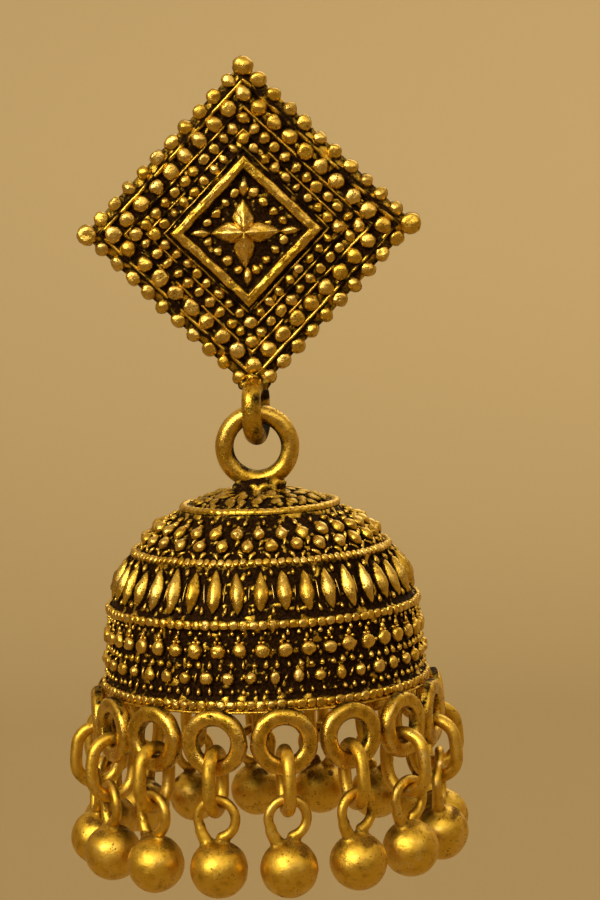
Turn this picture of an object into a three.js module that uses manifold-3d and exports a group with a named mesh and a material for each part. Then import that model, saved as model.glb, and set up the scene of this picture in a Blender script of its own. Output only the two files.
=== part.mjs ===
// A jhumka earring: a square stud plate hung on its point, a hollow bell that hangs from the plate's
// loop by a ring, and a fringe of ball drops on oval jump rings around the bell's rim.
//
// Millimetres, +Z up, the front faces -Y. The origin is the root of the ear post, in the plane of the
// plate's back rim. The angle of a drop is measured around the bell from the front, positive to +X.

import * as THREE from 'three';
import { mergeVertices } from 'three/addons/utils/BufferGeometryUtils.js';
import Module from 'manifold-3d';

const wasm = await Module();
wasm.setup();

// ---------------------------------------------------------------- driving dimensions

const CLEARANCE = 0.1; // between two rings that hang in each other
const HANG_Y = -0.9; // the vertical line that everything hangs on, in front of the plate's back

// The plate's sizes run from its centre to a corner, because it is a square on its point.
const PLATE = {
  reach: 10.6, // edge of the web under the border beads
  borderBeads: { reach: 10.9, radius: 0.5, between: 10, cornerRadius: 0.68 },
  backRim: 8.6, // the flat rim around the back runs from here to the edge
  backHollow: 0.35, // how far the back is hollowed inside that rim
  backSlope: 0.6,
};

// The plate's front, from the edge to the centre: reach of each step and its height above the back rim.
const PLATE_STEPS = [
  { reach: 10.6, height: 0.5 },
  { reach: 10.35, height: 0.8 },
  { reach: 10.1, height: 1.1 },
  { reach: 9.8, height: 1.15 },
  { reach: 9.65, height: 0.95 },
  { reach: 8.5, height: 1.0 },
  { reach: 8.35, height: 1.25 },
  { reach: 8.2, height: 1.3 },
  { reach: 8.05, height: 1.1 },
  { reach: 6.9, height: 1.15 },
  { reach: 6.75, height: 1.45 },
  { reach: 6.6, height: 1.3 },
  { reach: 5.65, height: 1.35 },
  { reach: 5.5, height: 1.6 },
  { reach: 5.25, height: 1.45 },
  { reach: 5.07, height: 1.9 },
  { reach: 4.2, height: 1.9 },
  { reach: 4.0, height: 1.35 },
];

const STAR = { reach: 2.15, lobe: 0.75, height: 0.55 }; // four points on the diagonals of the square

// The loop stands edge-on, turned a little about the vertical.
const STUD_LOOP = { midRadius: 1.66, wire: 0.7, stretch: 0.3, bottomZ: -13.9, turn: -10 };

const POST = { padRadius: 1.6, padThickness: 0.32, radius: 0.42, length: 11, gap: 0.03 };

const TOP_RING = { midRadius: 2.23, wire: 0.63 };

// The bell's outside is half an ellipse above the shoulder and a slight flare below it.
const BELL = {
  topDrop: 2.7, // from the centre of the top ring to the crown
  halfWidth: 10.5,
  dome: 9.1, // height of the half ellipse
  skirt: 4.15, // height of the flare below it
  rimRadius: 10.85,
  wall: 0.85,
  lip: { reach: 11.35, thickness: 0.3 },
  crown: { radius: 1.9, rise: 0.4 }, // mound that the top ring stands in
  segments: 36,
};

// Raised rings around the bell: depth below the crown, height and how far each stands out.
const BELL_RINGS = [
  { name: 'upper', below: 1.2, height: 0.44, proud: 0.2 },
  { name: 'middle', below: 4.05, height: 0.52, proud: 0.2 },
  { name: 'waist', below: 7.85, height: 0.6, proud: 0.2 },
  { name: 'rim', below: 12.9, height: 0.6, proud: 0.25 },
];

const DROPS = 16;
const FIRST_DROP_ANGLE = 5.85; // degrees from the front
const EYELET = { circle: 11.5, midRadius: 1.64, halfBand: 0.56, halfThickness: 0.5, tuck: 0.45 };
const JUMP_RING = { midRadius: 1.475, wire: 0.425, stretch: 0.47 };
const BALL = { radius: 1.8, loopRadius: 1.25, loopWire: 0.32, neck: 0.7, loopToBall: 3.3 };

// How each drop hangs, in degrees: lean of its jump ring away from the bell, and turns of the jump ring
// and of the ball about the vertical.
const HANG = [
  { lean: 5, ringTurn: 4, ballTurn: 4 },
  { lean: 7, ringTurn: -5, ballTurn: 10 },
  { lean: 5, ringTurn: 5, ballTurn: -8 },
  { lean: 6, ringTurn: -3, ballTurn: 6 },
  { lean: 4, ringTurn: 6, ballTurn: -10 },
  { lean: 7, ringTurn: -6, ballTurn: 3 },
  { lean: 5, ringTurn: 4, ballTurn: 9 },
  { lean: 6, ringTurn: -2, ballTurn: -6 },
  { lean: 4, ringTurn: 5, ballTurn: 10 },
  { lean: 6, ringTurn: -5, ballTurn: -4 },
  { lean: 7, ringTurn: 3, ballTurn: 7 },
  { lean: 5, ringTurn: -6, ballTurn: -9 },
  { lean: 6, ringTurn: 6, ballTurn: 5 },
  { lean: 7, ringTurn: -4, ballTurn: -7 },
  { lean: 6, ringTurn: 2, ballTurn: -9 },
  { lean: 3, ringTurn: 1, ballTurn: 3 },
];

// ---------------------------------------------------------------- heights that follow from them

const loopWireTopZ = STUD_LOOP.bottomZ + STUD_LOOP.wire;
const topRingZ = loopWireTopZ + CLEARANCE + TOP_RING.wire - TOP_RING.midRadius;
const crownZ = topRingZ - BELL.topDrop;
const domeBaseZ = crownZ - BELL.dome;
const skirtZ = domeBaseZ - BELL.skirt;
const rimZ = skirtZ - BELL.lip.thickness;
const eyeletZ = rimZ + EYELET.tuck - EYELET.midRadius - EYELET.halfBand;
const eyeletWireTopZ = eyeletZ - EYELET.midRadius + EYELET.halfBand;
const jumpRingHalfHeight = JUMP_RING.midRadius + JUMP_RING.stretch;
const jumpRingZ = eyeletWireTopZ + CLEARANCE + JUMP_RING.wire - jumpRingHalfHeight;
const jumpWireTopZ = jumpRingZ - jumpRingHalfHeight + JUMP_RING.wire;
const ballLoopZ = jumpWireTopZ + CLEARANCE + BALL.loopWire - BALL.loopRadius;

// ---------------------------------------------------------------- materials

function gold(name, color, roughness) {
  return new THREE.MeshStandardMaterial({ name, color, roughness, metalness: 1 });
}

const darkenedGold = () => gold('darkened_gold', 0xa8843c, 0.42);
const satinGold = () => gold('satin_gold', 0xd2a338, 0.34);
const postMetal = () => gold('post_metal', 0xc9a24a, 0.3);

// ---------------------------------------------------------------- solids

// A closed three.js geometry as a solid that can be joined or cut.
function toSolid(geometry) {
  const bare = geometry.clone();
  bare.deleteAttribute('normal');
  bare.deleteAttribute('uv');
  const merged = mergeVertices(bare, 1e-4);
  return new wasm.Manifold(new wasm.Mesh({
    numProp: 3,
    vertProperties: Float32Array.from(merged.attributes.position.array),
    triVerts: Uint32Array.from(merged.index.array),
  }));
}

function toGeometry(solid) {
  const mesh = solid.getMesh();
  const geometry = new THREE.BufferGeometry();
  geometry.setAttribute('position', new THREE.BufferAttribute(mesh.vertProperties, 3));
  geometry.setIndex(new THREE.BufferAttribute(mesh.triVerts, 1));
  geometry.computeVertexNormals();
  return geometry;
}

function join(geometries) {
  return toGeometry(geometries.map(toSolid).reduce((whole, part) => whole.add(part)));
}

// A ring in the XZ plane. The stretch moves its upper and lower halves apart, which makes it oval.
function ringGeometry(midRadius, wire, sides, steps, stretch = 0) {
  const ring = new THREE.TorusGeometry(midRadius, wire, sides, steps);
  const position = ring.attributes.position;
  for (let i = 0; i < position.count; i += 1) {
    const y = position.getY(i);
    const lift = Math.abs(y) < 1e-6 ? 0 : Math.sign(y) * stretch;
    position.setY(i, y + lift);
  }
  return ring.rotateX(Math.PI / 2);
}

// Turns a profile of { reach, y } about the plate's normal, from the front to the back. Four segments
// put its corners on X and Z.
function turnedSquare(profile) {
  const points = profile.map((p) => new THREE.Vector2(p.reach, p.y));
  return new THREE.LatheGeometry(points, 4);
}

// Turns a profile of [radius, height] about the vertical. Its outside runs upwards.
function turned(profile, segments) {
  const points = profile.map(([radius, z]) => new THREE.Vector2(radius, z));
  return new THREE.LatheGeometry(points, segments).rotateX(Math.PI / 2);
}

// ---------------------------------------------------------------- stud

function plateBody() {
  const innerEdge = PLATE.backRim - PLATE.backSlope;
  const front = PLATE_STEPS.map((step) => ({ reach: step.reach, y: -step.height })).reverse();
  const centre = { reach: 0, y: front[0].y };
  const back = [
    { reach: PLATE.reach, y: 0 },
    { reach: PLATE.backRim, y: 0 },
    { reach: innerEdge, y: -PLATE.backHollow },
    { reach: 0, y: -PLATE.backHollow },
  ];
  return turnedSquare([centre, ...front, ...back]);
}

// A star of four long points with a short notch between them, rising to a peak at its centre.
function starBody() {
  const outline = new THREE.Shape();
  const corners = 8;
  for (let i = 0; i < corners; i += 1) {
    const reach = i % 2 ? STAR.lobe : STAR.reach;
    const angle = (i / corners) * 2 * Math.PI;
    const corner = [reach * Math.cos(angle), reach * Math.sin(angle)];
    if (i === 0) outline.moveTo(...corner);
    else outline.lineTo(...corner);
  }
  const field = PLATE_STEPS[PLATE_STEPS.length - 1].height;
  const star = new THREE.ExtrudeGeometry(outline, { depth: STAR.height, bevelEnabled: false });
  star.rotateX(Math.PI / 2);
  return star.translate(0, -field, 0);
}

// Beads along the four edges, with a larger one at each corner but the lowest, where the loop is.
function borderBeads() {
  const { reach, radius, between, cornerRadius } = PLATE.borderBeads;
  const beads = [];
  const corners = [[reach, 0], [0, reach], [-reach, 0], [0, -reach]];
  const beadY = -0.62;
  corners.forEach(([x, z], side) => {
    const [nextX, nextZ] = corners[(side + 1) % corners.length];
    const first = side === corners.length - 1 ? 1 : 0;
    for (let i = first; i <= between; i += 1) {
      const along = i / (between + 1);
      const size = i === 0 ? cornerRadius : radius;
      const bead = new THREE.SphereGeometry(size, 6, 3).rotateX(Math.PI / 2);
      beads.push(bead.translate(
        THREE.MathUtils.lerp(x, nextX, along),
        beadY,
        THREE.MathUtils.lerp(z, nextZ, along),
      ));
    }
  });
  return beads;
}

function studLoop() {
  const { midRadius, wire, stretch, bottomZ, turn } = STUD_LOOP;
  const loop = ringGeometry(midRadius, wire, 8, 16, stretch);
  loop.rotateZ(THREE.MathUtils.degToRad(90 + turn));
  return loop.translate(0, HANG_Y, bottomZ + midRadius + stretch);
}

function studPlate() {
  const geometry = join([plateBody(), starBody(), studLoop(), ...borderBeads()]);
  const mesh = new THREE.Mesh(geometry, darkenedGold());
  mesh.name = 'stud_plate';
  return mesh;
}

// The post with its pad, standing in the hollow of the plate's back.
function earPost() {
  const { padRadius, padThickness, radius, length } = POST;
  const tip = 0.3;
  const profile = [
    [0, 0],
    [padRadius, 0],
    [padRadius, padThickness],
    [radius, padThickness],
    [radius, length - tip],
    [radius / 2, length],
    [0, length],
  ];
  const geometry = new THREE.LatheGeometry(profile.map(([r, y]) => new THREE.Vector2(r, y)), 12);
  const mesh = new THREE.Mesh(toGeometry(toSolid(geometry)), postMetal());
  mesh.name = 'ear_post';
  mesh.position.y = POST.gap - PLATE.backHollow;
  return mesh;
}

// ---------------------------------------------------------------- bell

function bellRadius(z) {
  if (z >= domeBaseZ) {
    const up = (z - domeBaseZ) / BELL.dome;
    return BELL.halfWidth * Math.sqrt(Math.max(0, 1 - up * up));
  }
  const down = (domeBaseZ - z) / BELL.skirt;
  return THREE.MathUtils.lerp(BELL.halfWidth, BELL.rimRadius, down);
}

function bellOutside() {
  const domeSteps = 7;
  const smooth = [];
  for (let i = 1; i <= domeSteps; i += 1) {
    smooth.push(domeBaseZ + BELL.dome * Math.cos((i / domeSteps) * (Math.PI / 2)));
  }
  const rings = BELL_RINGS.map((ring) => ({ ...ring, z: crownZ - ring.below }));
  const clearOfRings = (z) => rings.every((ring) => Math.abs(z - ring.z) > 0.8 * ring.height);
  const points = smooth.filter(clearOfRings).map((z) => [bellRadius(z), z]);
  for (const ring of rings) {
    const upper = ring.z + ring.height / 2;
    const lower = ring.z - ring.height / 2;
    points.push([bellRadius(upper), upper], [bellRadius(lower), lower]);
    points.push([bellRadius(ring.z) + ring.proud, ring.z]);
  }
  points.sort((a, b) => a[1] - b[1]);
  const lip = [
    [BELL.lip.reach, rimZ],
    [BELL.lip.reach, skirtZ - 0.05],
    [BELL.rimRadius, skirtZ],
  ];
  const crown = [
    [BELL.crown.radius, crownZ],
    [BELL.crown.radius * 0.65, crownZ + BELL.crown.rise],
    [0, crownZ + BELL.crown.rise],
  ];
  return [...lip, ...points, ...crown];
}

// The hollow follows the outside at the wall's thickness, from the axis down to the rim.
function bellInside() {
  const steps = 6;
  const points = [[0, domeBaseZ + BELL.dome - BELL.wall]];
  for (let i = 1; i <= steps; i += 1) {
    const angle = (i / steps) * (Math.PI / 2);
    points.push([
      (BELL.halfWidth - BELL.wall) * Math.sin(angle),
      domeBaseZ + (BELL.dome - BELL.wall) * Math.cos(angle),
    ]);
  }
  points.push([BELL.rimRadius - BELL.wall, rimZ]);
  return points;
}

function eyelet(angle) {
  const { circle, midRadius, halfBand, halfThickness } = EYELET;
  const ring = ringGeometry(midRadius, halfBand, 5, 12).scale(1, halfThickness / halfBand, 1);
  return ring.translate(0, -circle, eyeletZ).rotateZ(angle);
}

function dropAngle(index) {
  return THREE.MathUtils.degToRad(FIRST_DROP_ANGLE + (index * 360) / DROPS);
}

function bell() {
  const shell = turned([...bellOutside(), ...bellInside(), bellOutside()[0]], BELL.segments);
  const topRing = ringGeometry(TOP_RING.midRadius, TOP_RING.wire, 8, 20).translate(0, 0, topRingZ);
  const eyelets = Array.from({ length: DROPS }, (_, index) => eyelet(dropAngle(index)));
  const mesh = new THREE.Mesh(join([shell, topRing, ...eyelets]), darkenedGold());
  mesh.name = 'bell';
  return mesh;
}

// ---------------------------------------------------------------- drops

function jumpRing() {
  return ringGeometry(JUMP_RING.midRadius, JUMP_RING.wire, 5, 14, JUMP_RING.stretch);
}

// The ball with its neck, turned in one, and the loop that stands in the neck.
function ballDrop() {
  const { radius, loopRadius, loopWire, neck, loopToBall } = BALL;
  const steps = 6;
  const profile = [];
  for (let i = 0; i < steps; i += 1) {
    const angle = (i / steps) * Math.PI;
    profile.push([radius * Math.sin(angle), -loopToBall - radius * Math.cos(angle)]);
  }
  const neckTop = -loopRadius - loopWire / 2;
  profile.push([neck, neckTop - 0.25], [neck * 0.7, neckTop], [0, neckTop]);
  return join([turned(profile, 8), ringGeometry(loopRadius, loopWire, 5, 10)]);
}

// One jump ring and its ball drop at their eyelet. The jump ring hangs at right angles to the eyelet,
// leans about its own upper wire, and carries the ball's loop, which faces outwards again.
function drop(index) {
  const number = String(index + 1).padStart(2, '0');
  const { lean, ringTurn, ballTurn } = HANG[index];
  const leanAngle = THREE.MathUtils.degToRad(lean);
  const ring = new THREE.Mesh(toGeometry(toSolid(jumpRing())), satinGold());
  ring.name = `jump_ring_${number}`;
  ring.position.z = -jumpRingHalfHeight;
  ring.rotation.z = Math.PI / 2 + THREE.MathUtils.degToRad(ringTurn);
  const leaning = new THREE.Group();
  leaning.position.set(0, -EYELET.circle, jumpRingZ + jumpRingHalfHeight);
  leaning.rotation.x = -leanAngle;
  leaning.add(ring);
  const ball = new THREE.Mesh(ballDrop(), satinGold());
  ball.name = `ball_drop_${number}`;
  const swing = 2 * jumpRingHalfHeight;
  const outwards = swing * Math.sin(leanAngle);
  const upwards = swing * (1 - Math.cos(leanAngle));
  ball.position.set(0, -EYELET.circle - outwards, ballLoopZ + upwards);
  ball.rotation.z = THREE.MathUtils.degToRad(ballTurn);
  const place = new THREE.Group();
  place.rotation.z = dropAngle(index);
  place.add(leaning, ball);
  return place;
}

// ---------------------------------------------------------------- the earring

const stud = new THREE.Group();
stud.add(studPlate(), earPost());

const hanging = new THREE.Group();
hanging.position.y = HANG_Y;
hanging.add(bell());
for (let index = 0; index < DROPS; index += 1) hanging.add(drop(index));

const earring = new THREE.Group();
earring.add(stud, hanging);

export default earring;
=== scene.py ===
"""The looks of the jhumka earring, built around its CAD frame.

Lengths are in millimetres in the frame's own axes (X right, front towards -Y, Z up) until Piece.make()
turns them into metres. Angles around the bell run from the front, positive towards +X. Two values go
with every vertex: "relief" is 0 in the darkened recesses and 1 on the worn tops, and it also holds a
painted highlight on the eyelets' bevels and painted shade on the right side of the stud's loop; "tone"
says how pale the gold is, at random from bead to bead. The order of the making is also the order of the
random draws.
"""

import math
from typing import NamedTuple

import bmesh
import bpy
import numpy as np
from mathutils import Matrix, Vector


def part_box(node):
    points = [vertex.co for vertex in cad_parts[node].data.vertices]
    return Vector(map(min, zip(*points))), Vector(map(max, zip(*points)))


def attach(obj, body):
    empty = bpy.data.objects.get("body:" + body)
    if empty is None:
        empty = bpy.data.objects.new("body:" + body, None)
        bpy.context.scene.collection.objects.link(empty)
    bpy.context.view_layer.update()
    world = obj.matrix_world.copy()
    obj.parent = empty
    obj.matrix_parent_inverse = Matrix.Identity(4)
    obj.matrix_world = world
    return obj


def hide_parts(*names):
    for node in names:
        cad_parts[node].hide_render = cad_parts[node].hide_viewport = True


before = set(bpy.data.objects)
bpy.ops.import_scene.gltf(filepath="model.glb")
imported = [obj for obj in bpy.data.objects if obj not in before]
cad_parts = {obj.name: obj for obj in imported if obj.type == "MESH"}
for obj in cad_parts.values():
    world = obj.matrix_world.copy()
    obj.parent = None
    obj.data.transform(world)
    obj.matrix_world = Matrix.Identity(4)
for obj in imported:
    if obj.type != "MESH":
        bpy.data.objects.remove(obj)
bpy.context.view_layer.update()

MM = 0.001
random = np.random.default_rng(11)

# ---- sizes, from the frame


def node_box(name):
    low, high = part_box(name)
    return np.array(low) / MM, np.array(high) / MM


def node_points(name):
    return np.array([v.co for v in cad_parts[name].data.vertices]) / MM


RING_RADIUS = 2.23  # the bell's top ring, to the middle of its wire
RING_WIRE = 0.63  # a wire's number is its radius, here and below
RING_TO_CROWN = 2.7
DOME = 9.1  # height of the dome, and below it the skirt and the lip
SKIRT = 4.15
LIP = 0.3
HALF_WIDTH = 10.5  # the bell's radius at the dome's foot, and at the rim
RIM_RADIUS = 10.85
WALL = 0.85
MOUND = (2.05, 1.178, 1.15)  # half sizes of the solder under the top ring
MOUND_SUNK = 0.25

BELL_LOW, BELL_HIGH = node_box("bell")
AXIS_Y = (BELL_LOW[1] + BELL_HIGH[1]) / 2  # the line that everything hangs on
RING_Z = BELL_HIGH[2] - RING_RADIUS - RING_WIRE
CROWN_Z = RING_Z - RING_TO_CROWN
DOME_BASE = CROWN_Z - DOME
SKIRT_Z = DOME_BASE - SKIRT
RIM_Z = SKIRT_Z - LIP

DROPS = 16
FIRST_DROP = math.radians(5.85)
EYELET_CIRCLE = 11.5
EYELET_RADIUS = 1.64
EYELET_BAND = 0.56
EYELET_HALF_THICKNESS = 0.5
EYELET_Z = BELL_LOW[2] + EYELET_RADIUS + EYELET_BAND

JUMP_WIRE = 0.425
JUMP_RADIUS = 1.475
JUMP_STRETCH = 0.47  # how far the oval's two halves are moved apart

BALL = 1.88
BALL_LOOP = 1.25  # the ball's own loop, to the middle of its wire
BALL_WIRE = 0.34
LOOP_TO_BALL = 3.3  # between their middles
LOOP_TOP = 0.32  # the CAD loop's wire, above its middle line

LOOP_RADIUS = 1.66  # the loop under the plate
LOOP_WIRE = 0.7
LOOP_STRETCH = 0.3
LOOP_SQUAT = 0.7  # its upper half is lower, so that it starts under the plate's lowest bead
LOOP_TURN = math.radians(-10)
LOOP_Z = node_box("stud_plate")[0][2] + LOOP_WIRE + LOOP_RADIUS + LOOP_STRETCH

# On the plate, reach is the distance from the middle to a square's corner.
BORDER = 10.9  # of the outer beads


# ---- noise and mesh tools


class Noise:
    """Smooth random values from -1 to 1 at some points, for lumps of a given size in millimetres."""

    CELLS = 32

    def __init__(self, seed):
        self.lattice = np.random.default_rng(seed).uniform(-1, 1, (self.CELLS,) * 3)

    def __call__(self, points, size):
        scaled = np.asarray(points) / size
        base = np.floor(scaled).astype(int)
        part = scaled - base
        part = part * part * (3 - 2 * part)
        total = np.zeros(len(scaled))
        for corner in range(8):
            step = np.array([corner & 1, corner >> 1 & 1, corner >> 2 & 1])
            index = (base + step) % self.CELLS
            weight = np.prod(np.where(step, part, 1 - part), axis=1)
            total += weight * self.lattice[index[:, 0], index[:, 1], index[:, 2]]
        return total


noise = Noise(3)
grain = Noise(8)


def clamp(value):
    return np.clip(value, 0, 1)


def smoothstep(low, high, value):
    t = clamp((np.asarray(value, float) - low) / (high - low))
    return t * t * (3 - 2 * t)


def full_turn(steps):
    """Evenly spaced angles round a circle."""
    return np.arange(steps) / steps * 2 * math.pi


def boxier(values, power):
    """Pushes a circle's or ball's coordinates out towards a box as the power falls below 1."""
    return np.sign(values) * np.abs(values) ** power


def add_object(name, data):
    made = bpy.data.objects.new(name, data)
    bpy.context.scene.collection.objects.link(made)
    return made


class Piece:
    """Collects vertices and faces in millimetres and makes one mesh object of them."""

    def __init__(self):
        self.points, self.relief, self.tone, self.faces = [], [], [], []
        self.count = 0

    def add(self, points, faces, relief, tone):
        n = len(points)
        self.points.append(points)
        self.relief.append(np.broadcast_to(relief, n))
        self.tone.append(np.broadcast_to(tone, n))
        self.faces.append(np.asarray(faces) + self.count)
        self.count += n

    def add_rows(self, rows, relief, tone, wrap_rows=False):
        """Adds a surface whose every row is a closed ring of points."""
        faces = grid_faces(len(rows), len(rows[0]), wrap_rows)
        self.add(np.concatenate(rows), faces, np.concatenate(relief), tone)

    def make(self, name, material, body, slot, *replaced):
        points = np.concatenate(self.points) * MM
        loops = np.concatenate([f.ravel() for f in self.faces])
        sizes = np.concatenate([np.full(len(f), f.shape[1]) for f in self.faces])
        starts = np.concatenate([[0], np.cumsum(sizes)[:-1]])
        mesh = bpy.data.meshes.new(name)
        mesh.vertices.add(len(points))
        mesh.vertices.foreach_set("co", points.astype(np.float32).ravel())
        mesh.loops.add(len(loops))
        mesh.loops.foreach_set("vertex_index", loops.astype(np.int32))
        mesh.polygons.add(len(sizes))
        mesh.polygons.foreach_set("loop_start", starts.astype(np.int32))
        mesh.polygons.foreach_set("loop_total", sizes.astype(np.int32))
        mesh.update(calc_edges=True)
        mesh.polygons.foreach_set("use_smooth", np.ones(len(sizes), bool))
        for key, parts in (("relief", self.relief), ("tone", self.tone)):
            values = np.concatenate(parts).astype(np.float32)
            mesh.attributes.new(key, "FLOAT", "POINT").data.foreach_set("value", values)
        mesh.materials.append(material)
        obj = add_object(name, mesh)
        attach(obj, body)
        if replaced:
            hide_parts(*replaced)
        return obj


def grid_faces(rows, columns, wrap_rows=False):
    """Quads of a grid of points stored row by row, where every row is a closed ring."""
    r = np.arange(rows if wrap_rows else rows - 1)
    c = np.arange(columns)
    r, c = (a.ravel() for a in np.meshgrid(r, c, indexing="ij"))
    r2, c2 = (r + 1) % rows, (c + 1) % columns
    return np.stack([r * columns + c, r * columns + c2, r2 * columns + c2, r2 * columns + c], 1)


def icosphere(level):
    bm = bmesh.new()
    bmesh.ops.create_icosphere(bm, subdivisions=level, radius=1)
    points = np.array([v.co for v in bm.verts])
    faces = np.array([[v.index for v in f.verts] for f in bm.faces])
    bm.free()
    return points, faces


FINE, COARSE = icosphere(3), icosphere(2)

# A template is (points, faces, relief). Its x runs along the row, y up the surface and z out of it,
# and it is about 1 from its middle to its edge.


def bead(level=FINE, square=1.0, flat=0.0):
    """A round bead. A lower square makes it boxier, and flat presses its top down."""
    points, faces = level
    points = boxier(points, square)
    top = points[:, 2].max()
    points = points / np.abs(points).max()
    if flat:
        out = points[:, 2]
        points[:, 2] = np.where(out > 0, np.tanh(out * (1 + 2 * flat)) / np.tanh(1 + 2 * flat), out)
    return points, faces, smoothstep(-0.15 * top, 0.75, points[:, 2])


def drop_shape(level=COARSE, point=0.7, bend=0.0, low_point=0.0):
    """A bead drawn out to a point upwards, and downwards too if low_point is given."""
    points, faces = level
    points = points.copy()
    up = clamp(points[:, 1])
    down = clamp(-points[:, 1])
    narrow = (1 - 0.6 * point * up**2) * (1 - 0.6 * low_point * down**2)
    points[:, 0] *= narrow
    points[:, 2] *= 0.4 + 0.6 * narrow
    points[:, 1] += point * up**2 - low_point * down**2
    points[:, 0] += bend * points[:, 1] ** 2 * np.sign(points[:, 1])
    return points, faces, smoothstep(-0.1, 0.7, points[:, 2])


def marquise(steps=20, sides=14, waist=0.12, ridge=0.22):
    """A pointed oval with a soft ridge along it, widest below its middle and drawn in towards the top."""
    along = np.sin(np.linspace(-1, 1, steps) * math.pi / 2)
    spread = clamp(1 - np.abs(along) ** 1.75) ** 0.85
    spread = spread * (1 - waist * along - waist * clamp(along) ** 2)
    across, out = np.sin(full_turn(sides)), np.cos(full_turn(sides))
    section = np.where(out > 0, (1 - ridge) * out + ridge * (1 - np.abs(across)), 0.8 * out)
    x = spread[:, None] * across
    y = np.repeat(along[:, None], sides, 1)
    z = spread[:, None] ** 0.8 * section
    points = np.stack([x, y, z], -1).reshape(-1, 3)
    faces = grid_faces(steps, sides)[:, ::-1]
    return points, faces, smoothstep(-0.05, 0.6, points[:, 2])


def place(piece, template, centre, axes, size, tone, rough=0.11, relief_gain=1.0):
    """Puts one copy of a template, or of one from a list of them, at centre. The columns of axes are its
    row, up and out directions."""
    if isinstance(template, list):
        template = template[random.integers(len(template))]
    points, faces, relief = template
    moved = (points * size) @ axes.T + centre
    wobble = 1 + rough * (noise(moved, 0.42) + 0.6 * grain(moved, 0.22))
    moved = centre + (points * size * wobble[:, None]) @ axes.T
    dents = clamp(grain(moved, 0.28) - 0.4) * 0.3 * size.min()
    moved = moved - dents[:, None] * axes[:, 2]
    piece.add(moved, faces, clamp(relief * relief_gain), tone)


def turn_about_z(angle):
    c, s = math.cos(angle), math.sin(angle)
    return np.array([[c, -s, 0], [s, c, 0], [0, 0, 1]])


def sweep(path, normal, radii, sides):
    """A closed round tube along a closed flat path. normal stands on the path's plane."""
    count = len(path)
    forward = np.roll(path, -1, 0) - np.roll(path, 1, 0)
    forward /= np.linalg.norm(forward, axis=1)[:, None]
    across = np.cross(forward, normal)
    around = full_turn(sides)
    radii = np.broadcast_to(radii, count)[:, None, None]
    points = (
        path[:, None]
        + radii * np.cos(around)[None, :, None] * across[:, None]
        + radii * np.sin(around)[None, :, None] * normal
    )
    return points.reshape(-1, 3), grid_faces(count, sides, wrap_rows=True)


def oval(radius, stretch, steps):
    """Points of an upright oval: two half circles moved apart by the stretch."""
    turn = full_turn(steps)
    lift = stretch * np.tanh(6 * np.sin(turn))
    return np.stack([radius * np.cos(turn), np.zeros(steps), radius * np.sin(turn) + lift], 1)


# ---- materials


def set_inputs(node, values):
    for key, value in values.items():
        node.inputs[key].default_value = value


class Nodes:
    """Builds the nodes of a material."""

    def __init__(self, name):
        self.material = bpy.data.materials.new(name)
        self.material.use_nodes = True
        self.tree = self.material.node_tree
        self.shader = self.tree.nodes["Principled BSDF"]
        where = self.node("ShaderNodeTexCoord").outputs["Object"]
        scale = self.node("ShaderNodeVectorMath", operation="SCALE")
        self.link(where, scale.inputs[0])
        set_inputs(scale, {"Scale": 1 / MM})
        self.place = scale.outputs["Vector"]

    def node(self, kind, **settings):
        made = self.tree.nodes.new(kind)
        for key, value in settings.items():
            setattr(made, key, value)
        return made

    def link(self, source, target):
        self.tree.links.new(source, target)

    def attribute(self, name):
        return self.node("ShaderNodeAttribute", attribute_name=name).outputs["Fac"]

    def texture(self, per_mm, detail=3.0, roughness=0.55):
        made = self.node("ShaderNodeTexNoise")
        self.link(self.place, made.inputs["Vector"])
        set_inputs(made, {"Scale": per_mm, "Detail": detail, "Roughness": roughness})
        return made.outputs["Fac"]

    def pits(self, per_mm):
        made = self.node("ShaderNodeTexVoronoi")
        self.link(self.place, made.inputs["Vector"])
        set_inputs(made, {"Scale": per_mm})
        return made.outputs["Distance"]

    def math(self, operation, first, second=None):
        made = self.node("ShaderNodeMath", operation=operation)
        for socket, value in zip(made.inputs, (first, second)):
            if value is None:
                continue
            if isinstance(value, (int, float)):
                socket.default_value = value
            else:
                self.link(value, socket)
        return made.outputs[0]

    def ramp(self, value, low, high, out_low=0.0, out_high=1.0):
        made = self.node("ShaderNodeMapRange", interpolation_type="SMOOTHSTEP")
        self.link(value, made.inputs["Value"])
        set_inputs(made, {"From Min": low, "From Max": high, "To Min": out_low, "To Max": out_high})
        return made.outputs["Result"]

    def mix(self, factor, first, second):
        made = self.node("ShaderNodeMix", data_type="RGBA")
        self.link(factor, made.inputs["Factor"])
        for socket, value in ((made.inputs[6], first), (made.inputs[7], second)):
            if isinstance(value, tuple):
                socket.default_value = (*value, 1)
            else:
                self.link(value, socket)
        return made.outputs[2]

    def bump(self, height, distance_mm, strength):
        made = self.node("ShaderNodeBump")
        set_inputs(made, {"Strength": strength, "Distance": distance_mm * MM})
        self.link(height, made.inputs["Height"])
        self.link(made.outputs["Normal"], self.shader.inputs["Normal"])


DULL_SHINE = 0.05  # reflection of the bare patina, which is dull
PATINA = (0.009, 0.0032, 0.0007)
PATINA_WARM = (0.05, 0.02, 0.003)
STAIN = (0.14, 0.062, 0.006)
STAIN_WARM = (0.3, 0.165, 0.018)
GOLD_DEEP = (0.46, 0.265, 0.02)
GOLD = (0.75, 0.48, 0.053)
GOLD_PALE = (0.84, 0.62, 0.2)


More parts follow.
